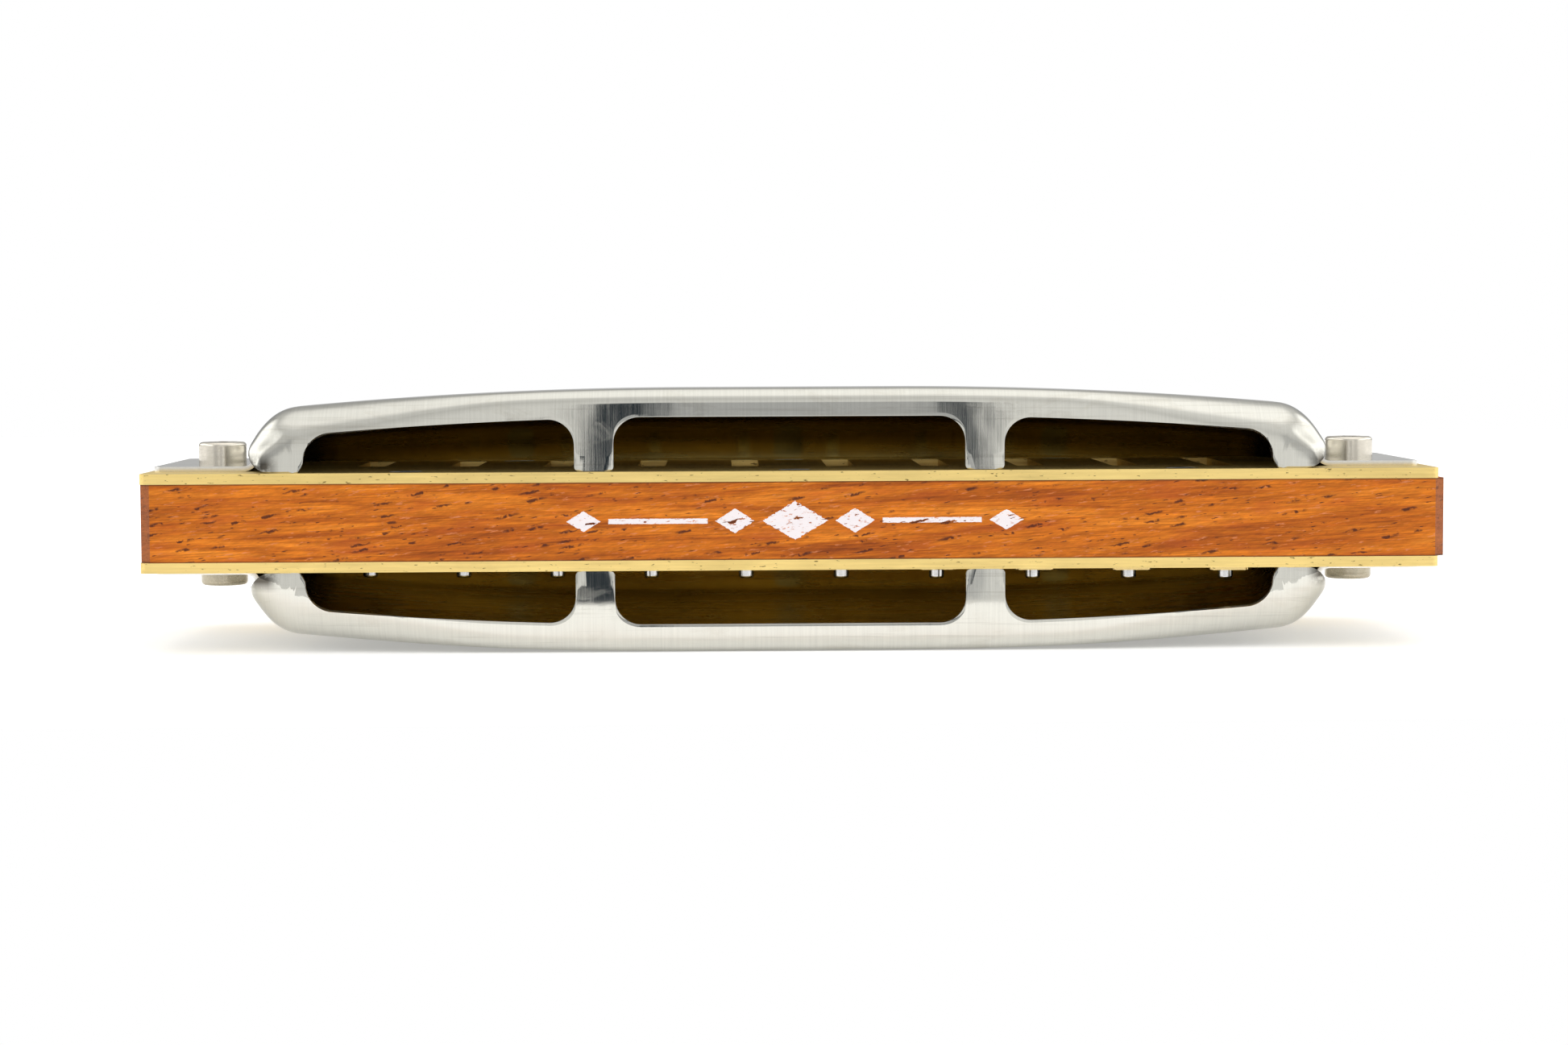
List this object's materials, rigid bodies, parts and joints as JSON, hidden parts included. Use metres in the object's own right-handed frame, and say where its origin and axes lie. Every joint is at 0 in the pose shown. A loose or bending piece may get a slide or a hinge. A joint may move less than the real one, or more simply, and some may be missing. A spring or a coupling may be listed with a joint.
{
  "type": "diatonic harmonica",
  "caption": "Diatonic harmonica with a hardwood comb between brass reed plates, free reeds that swing, and bent steel covers with sound openings at the back.",
  "frame": {"origin": "centre of the comb, which is the centre of the whole instrument", "axes": "+X along the instrument towards hole 1, +Y towards the player's mouth, +Z towards the blow reeds"},
  "size_m": [0.1002, 0.0274, 0.0204],
  "materials": {
    "comb_wood": "satin",
    "plate_brass": "satin",
    "reed_brass": "polished",
    "cover_steel": "polished",
    "fastener_nickel": "polished",
    "rivet_steel": "polished",
    "plate_screw_steel": "satin"
  },
  "bodies": {
    "stack": {"comb": "comb_wood", "blow_reed_plate": "plate_brass", "draw_reed_plate": "plate_brass", "upper_cover": "cover_steel", "lower_cover": "cover_steel", "cover_screws": "fastener_nickel", "cover_nuts": "fastener_nickel", "upper_plate_screws": "plate_screw_steel", "lower_plate_screws": "plate_screw_steel", "blow_reed_rivets": "rivet_steel", "draw_reed_rivets": "rivet_steel", "blow_reed_1_foot": "reed_brass", "draw_reed_1_foot": "reed_brass", "blow_reed_2_foot": "reed_brass", "draw_reed_2_foot": "reed_brass", "blow_reed_3_foot": "reed_brass", "draw_reed_3_foot": "reed_brass", "blow_reed_4_foot": "reed_brass", "draw_reed_4_foot": "reed_brass", "blow_reed_5_foot": "reed_brass", "draw_reed_5_foot": "reed_brass", "blow_reed_6_foot": "reed_brass", "draw_reed_6_foot": "reed_brass", "blow_reed_7_foot": "reed_brass", "draw_reed_7_foot": "reed_brass", "blow_reed_8_foot": "reed_brass", "draw_reed_8_foot": "reed_brass", "blow_reed_9_foot": "reed_brass", "draw_reed_9_foot": "reed_brass", "blow_reed_10_foot": "reed_brass", "draw_reed_10_foot": "reed_brass"},
    "blow_reed_1": {"blow_reed_1": "reed_brass"},
    "draw_reed_1": {"draw_reed_1": "reed_brass"},
    "blow_reed_2": {"blow_reed_2": "reed_brass"},
    "draw_reed_2": {"draw_reed_2": "reed_brass"},
    "blow_reed_3": {"blow_reed_3": "reed_brass"},
    "draw_reed_3": {"draw_reed_3": "reed_brass"},
    "blow_reed_4": {"blow_reed_4": "reed_brass"},
    "draw_reed_4": {"draw_reed_4": "reed_brass"},
    "blow_reed_5": {"blow_reed_5": "reed_brass"},
    "draw_reed_5": {"draw_reed_5": "reed_brass"},
    "blow_reed_6": {"blow_reed_6": "reed_brass"},
    "draw_reed_6": {"draw_reed_6": "reed_brass"},
    "blow_reed_7": {"blow_reed_7": "reed_brass"},
    "draw_reed_7": {"draw_reed_7": "reed_brass"},
    "blow_reed_8": {"blow_reed_8": "reed_brass"},
    "draw_reed_8": {"draw_reed_8": "reed_brass"},
    "blow_reed_9": {"blow_reed_9": "reed_brass"},
    "draw_reed_9": {"draw_reed_9": "reed_brass"},
    "blow_reed_10": {"blow_reed_10": "reed_brass"},
    "draw_reed_10": {"draw_reed_10": "reed_brass"}
  },
  "joints": [
    {"name": "blow_reed_1_bend", "type": "hinge", "parent": "stack", "child": "blow_reed_1", "pos_m": [0.0338, 0.00687, 0.0029], "axis": [1, 0, 0], "range_deg": [-3.5, 3.5], "stiffness_Nm_per_rad": 0.0284},
    {"name": "draw_reed_1_bend", "type": "hinge", "parent": "stack", "child": "draw_reed_1", "pos_m": [0.0338, -0.00797, -0.0039], "axis": [1, 0, 0], "range_deg": [-3.5, 3.5], "stiffness_Nm_per_rad": 0.0271},
    {"name": "blow_reed_2_bend", "type": "hinge", "parent": "stack", "child": "blow_reed_2", "pos_m": [0.0263, 0.00687, 0.0029], "axis": [1, 0, 0], "range_deg": [-3.5, 3.5], "stiffness_Nm_per_rad": 0.0297},
    {"name": "draw_reed_2_bend", "type": "hinge", "parent": "stack", "child": "draw_reed_2", "pos_m": [0.0263, -0.0073, -0.0039], "axis": [1, 0, 0], "range_deg": [-3.5, 3.5], "stiffness_Nm_per_rad": 0.0284},
    {"name": "blow_reed_3_bend", "type": "hinge", "parent": "stack", "child": "blow_reed_3", "pos_m": [0.0188, 0.00687, 0.0029], "axis": [1, 0, 0], "range_deg": [-3.5, 3.5], "stiffness_Nm_per_rad": 0.0312},
    {"name": "draw_reed_3_bend", "type": "hinge", "parent": "stack", "child": "draw_reed_3", "pos_m": [0.0188, -0.00663, -0.0039], "axis": [1, 0, 0], "range_deg": [-3.5, 3.5], "stiffness_Nm_per_rad": 0.0297},
    {"name": "blow_reed_4_bend", "type": "hinge", "parent": "stack", "child": "blow_reed_4", "pos_m": [0.0113, 0.00687, 0.0029], "axis": [1, 0, 0], "range_deg": [-3.5, 3.5], "stiffness_Nm_per_rad": 0.0328},
    {"name": "draw_reed_4_bend", "type": "hinge", "parent": "stack", "child": "draw_reed_4", "pos_m": [0.0113, -0.00595, -0.0039], "axis": [1, 0, 0], "range_deg": [-3.5, 3.5], "stiffness_Nm_per_rad": 0.0312},
    {"name": "blow_reed_5_bend", "type": "hinge", "parent": "stack", "child": "blow_reed_5", "pos_m": [0.0038, 0.00687, 0.0029], "axis": [1, 0, 0], "range_deg": [-3.5, 3.5], "stiffness_Nm_per_rad": 0.0347},
    {"name": "draw_reed_5_bend", "type": "hinge", "parent": "stack", "child": "draw_reed_5", "pos_m": [0.0038, -0.00528, -0.0039], "axis": [1, 0, 0], "range_deg": [-3.5, 3.5], "stiffness_Nm_per_rad": 0.0329},
    {"name": "blow_reed_6_bend", "type": "hinge", "parent": "stack", "child": "blow_reed_6", "pos_m": [-0.0037, 0.00687, 0.0029], "axis": [1, 0, 0], "range_deg": [-3.5, 3.5], "stiffness_Nm_per_rad": 0.0367},
    {"name": "draw_reed_6_bend", "type": "hinge", "parent": "stack", "child": "draw_reed_6", "pos_m": [-0.0037, -0.00461, -0.0039], "axis": [1, 0, 0], "range_deg": [-3.5, 3.5], "stiffness_Nm_per_rad": 0.0347},
    {"name": "blow_reed_7_bend", "type": "hinge", "parent": "stack", "child": "blow_reed_7", "pos_m": [-0.0112, 0.00687, 0.0029], "axis": [1, 0, 0], "range_deg": [-3.5, 3.5], "stiffness_Nm_per_rad": 0.039},
    {"name": "draw_reed_7_bend", "type": "hinge", "parent": "stack", "child": "draw_reed_7", "pos_m": [-0.0112, -0.00394, -0.0039], "axis": [1, 0, 0], "range_deg": [-3.5, 3.5], "stiffness_Nm_per_rad": 0.0367},
    {"name": "blow_reed_8_bend", "type": "hinge", "parent": "stack", "child": "blow_reed_8", "pos_m": [-0.0187, 0.00687, 0.0029], "axis": [1, 0, 0], "range_deg": [-3.5, 3.5], "stiffness_Nm_per_rad": 0.0416},
    {"name": "draw_reed_8_bend", "type": "hinge", "parent": "stack", "child": "draw_reed_8", "pos_m": [-0.0187, -0.00326, -0.0039], "axis": [1, 0, 0], "range_deg": [-3.5, 3.5], "stiffness_Nm_per_rad": 0.039},
    {"name": "blow_reed_9_bend", "type": "hinge", "parent": "stack", "child": "blow_reed_9", "pos_m": [-0.0262, 0.00687, 0.0029], "axis": [1, 0, 0], "range_deg": [-3.5, 3.5], "stiffness_Nm_per_rad": 0.0445},
    {"name": "draw_reed_9_bend", "type": "hinge", "parent": "stack", "child": "draw_reed_9", "pos_m": [-0.0262, -0.00259, -0.0039], "axis": [1, 0, 0], "range_deg": [-3.5, 3.5], "stiffness_Nm_per_rad": 0.0416},
    {"name": "blow_reed_10_bend", "type": "hinge", "parent": "stack", "child": "blow_reed_10", "pos_m": [-0.0337, 0.00687, 0.0029], "axis": [1, 0, 0], "range_deg": [-3.5, 3.5], "stiffness_Nm_per_rad": 0.0479},
    {"name": "draw_reed_10_bend", "type": "hinge", "parent": "stack", "child": "draw_reed_10", "pos_m": [-0.0337, -0.00192, -0.0039], "axis": [1, 0, 0], "range_deg": [-3.5, 3.5], "stiffness_Nm_per_rad": 0.0446}
  ]
}
